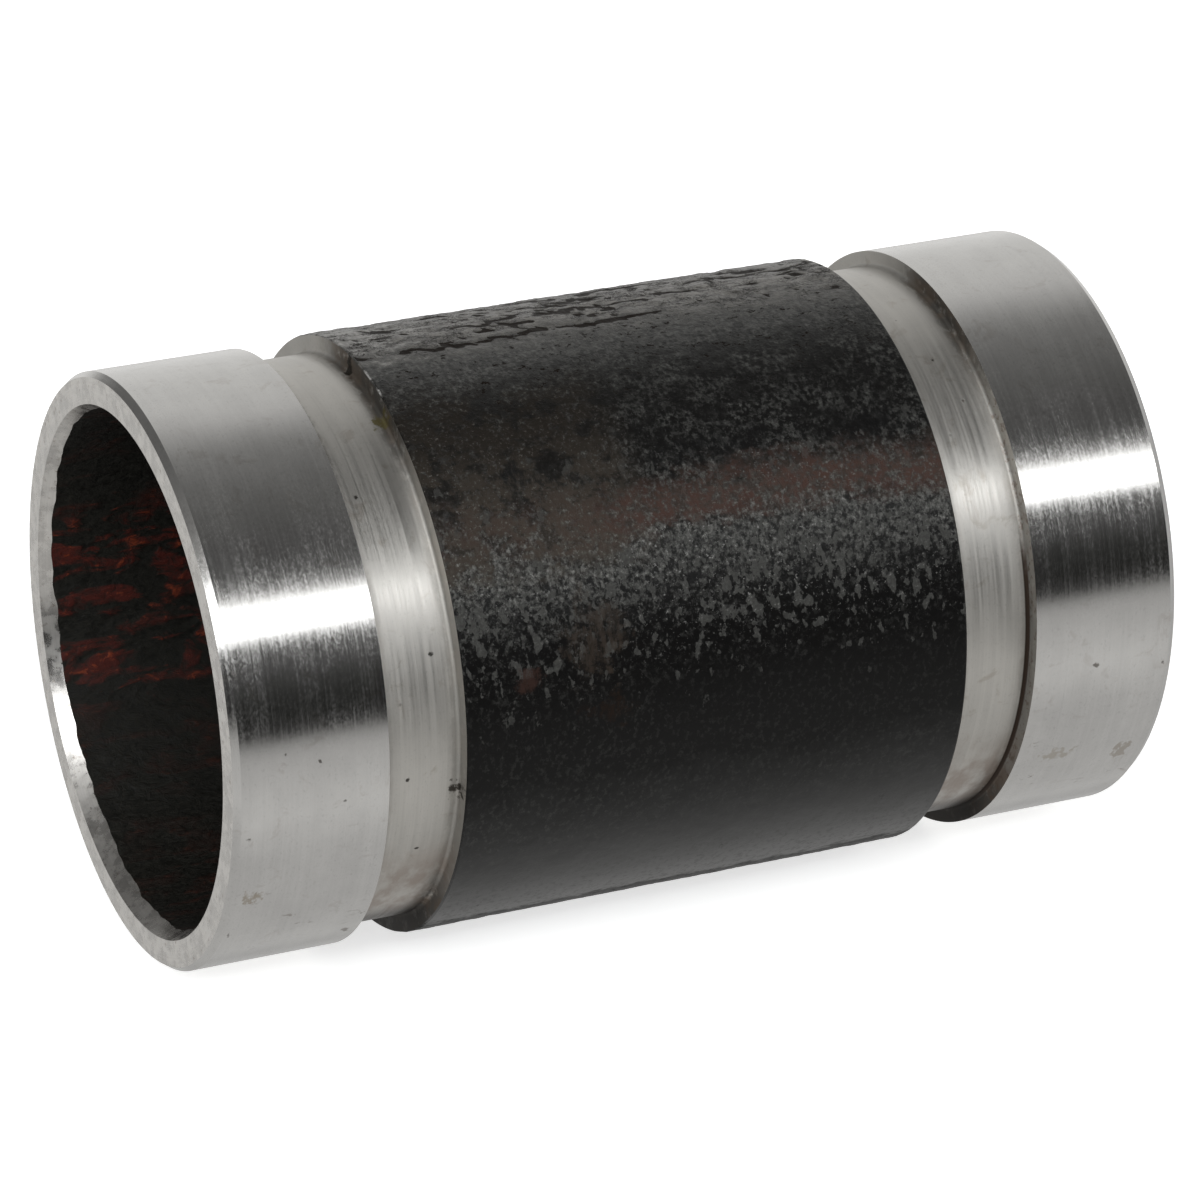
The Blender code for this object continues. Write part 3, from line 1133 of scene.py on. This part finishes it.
def make_camera():
    data = bpy.data.cameras.new("camera")
    data.lens = CAMERA_LENS
    data.sensor_width = CAMERA_SENSOR
    data.shift_x, data.shift_y = CAMERA_SHIFT
    data.clip_start = CAMERA_NEAR
    data.clip_end = CAMERA_FAR
    camera = bpy.data.objects.new("camera", data)
    a, e = math.radians(CAMERA_AZIMUTH), math.radians(CAMERA_ELEVATION)
    back = Vector((math.sin(a) * math.cos(e), -math.cos(a) * math.cos(e), math.sin(e)))
    facing = back.to_track_quat("Z", "Y").to_matrix().to_4x4()
    camera.matrix_world = Matrix.Translation(back * CAMERA_DISTANCE) @ facing
    bpy.context.scene.collection.objects.link(camera)
    bpy.context.scene.camera = camera


def make_studio():
    """Soft light from all round: a long bright panel high in front, dark over and under it, a
    pale floor, and a pale wall at the back towards +X.
    """
    world = bpy.data.worlds.new("studio")
    bpy.context.scene.world = world
    world.use_nodes = True
    g = Nodes(world.node_tree)
    way = g.add("ShaderNodeTexCoord", output="Generated")
    angle = g.math("ARCTAN2", g.dot(way, (0.0, 0.0, 1.0)), g.dot(way, (0.0, 1.0, 0.0)))
    share = g.math("MULTIPLY_ADD", angle, 0.5 / math.pi, 0.5)
    across = g.dot(way, (1.0, 0.0, 0.0))
    sides = []
    for wall in (WALL_MINUS_X, WALL_PLUS_X):
        stops = [
            ((degrees + 180.0) / 360.0, level / STUDIO_PEAK)
            for degrees, level in FLOOR_LIGHT + wall
        ]
        sides.append(g.ramp(share, stops))
    light = g.mix(g.fade(across, *STUDIO_WALLS_FADE), sides[0], sides[1])
    tint = g.mix(g.fade(light, *STUDIO_COOL_FADE), STUDIO_WARM, STUDIO_COOL)
    light = g.scaled(g.scaled(light, tint), (STUDIO_PEAK,) * 3)
    ends = g.fade(g.math("ABSOLUTE", across), *STUDIO_ENDS_FADE)
    light = g.mix(ends, light, (STUDIO_ENDS,) * 3)
    shader = g.add("ShaderNodeBackground", {"Color": light, "Strength": 1.0})
    g.add("ShaderNodeOutputWorld", {"Surface": shader}, output=None)


def floor_look(g):
    grain = g.noise(g.place((40.0, 40.0, 40.0)))
    return {
        "Base Color": g.mix(grain, *FLOOR_COLOURS),
        "Roughness": 0.9,
        "Specular IOR Level": 0.0,
        "Emission Color": (1.0, 1.0, 1.0, 1.0),
        "Emission Strength": FLOOR_GLOW,
    }


def make_floor(level):
    """A pale floor that sweeps up into a pale dome. It lights nothing and is not reflected."""
    rings = [(0.0, 0.0)]
    for k in range(1, FLOOR_RINGS + 1):
        rings.append((FLOOR_SIZE * FLOOR_FLAT * k / FLOOR_RINGS, 0.0))
    rise = 1.0 - FLOOR_FLAT
    for k in range(1, SWEEP_RINGS + 1):
        a = math.radians(90.0 * k / SWEEP_RINGS)
        out, up = FLOOR_FLAT + rise * math.sin(a), rise * (1 - math.cos(a))
        rings.append((FLOOR_SIZE * out, FLOOR_SIZE * up))
    top = rings[-1][1]
    for k in range(1, DOME_RINGS + 1):
        a = math.radians(90.0 * k / DOME_RINGS)
        rings.append((FLOOR_SIZE * math.cos(a), top + FLOOR_SIZE * math.sin(a)))
    points, faces = [], []
    for radius, height in rings:
        for k in range(FLOOR_SIDES):
            a = 2 * math.pi * k / FLOOR_SIDES
            points.append((radius * math.cos(a), radius * math.sin(a), level + height))
    for k in range(len(rings) - 1):
        here, there = k * FLOOR_SIDES, (k + 1) * FLOOR_SIDES
        for s in range(FLOOR_SIDES):
            t = (s + 1) % FLOOR_SIDES
            faces.append((here + s, here + t, there + t, there + s))
    mesh = bpy.data.meshes.new("floor")
    mesh.from_pydata(points, [], faces)
    mesh.shade_smooth()
    mesh.materials.append(material("floor", floor_look))
    floor = bpy.data.objects.new("floor", mesh)
    bpy.context.scene.collection.objects.link(floor)
    floor.visible_diffuse = False
    floor.visible_glossy = False
    floor.visible_transmission = False
    floor.visible_shadow = False


def make_pipe():
    looks = {
        "land": material("turned_land", land_look),
        "groove": material("turned_groove", groove_look),
        "face": material("faced_end", face_look),
        "bevel": material("bored_bevel", face_look),
        "mill": material("mill_scale", mill_look),
        "bore": material("rusty_bore", bore_look),
    }
    pipe = bpy.data.objects.new("pipe_nipple", pipe_mesh(looks))
    bpy.context.scene.collection.objects.link(pipe)
    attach(pipe, "root")
    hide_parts(NODE)
    return pipe


make_camera()
make_studio()
pipe = make_pipe()
make_floor(min(v.co.z for v in pipe.data.vertices))
bpy.context.scene.view_settings.view_transform = "Standard"

bpy.context.view_layer.update()
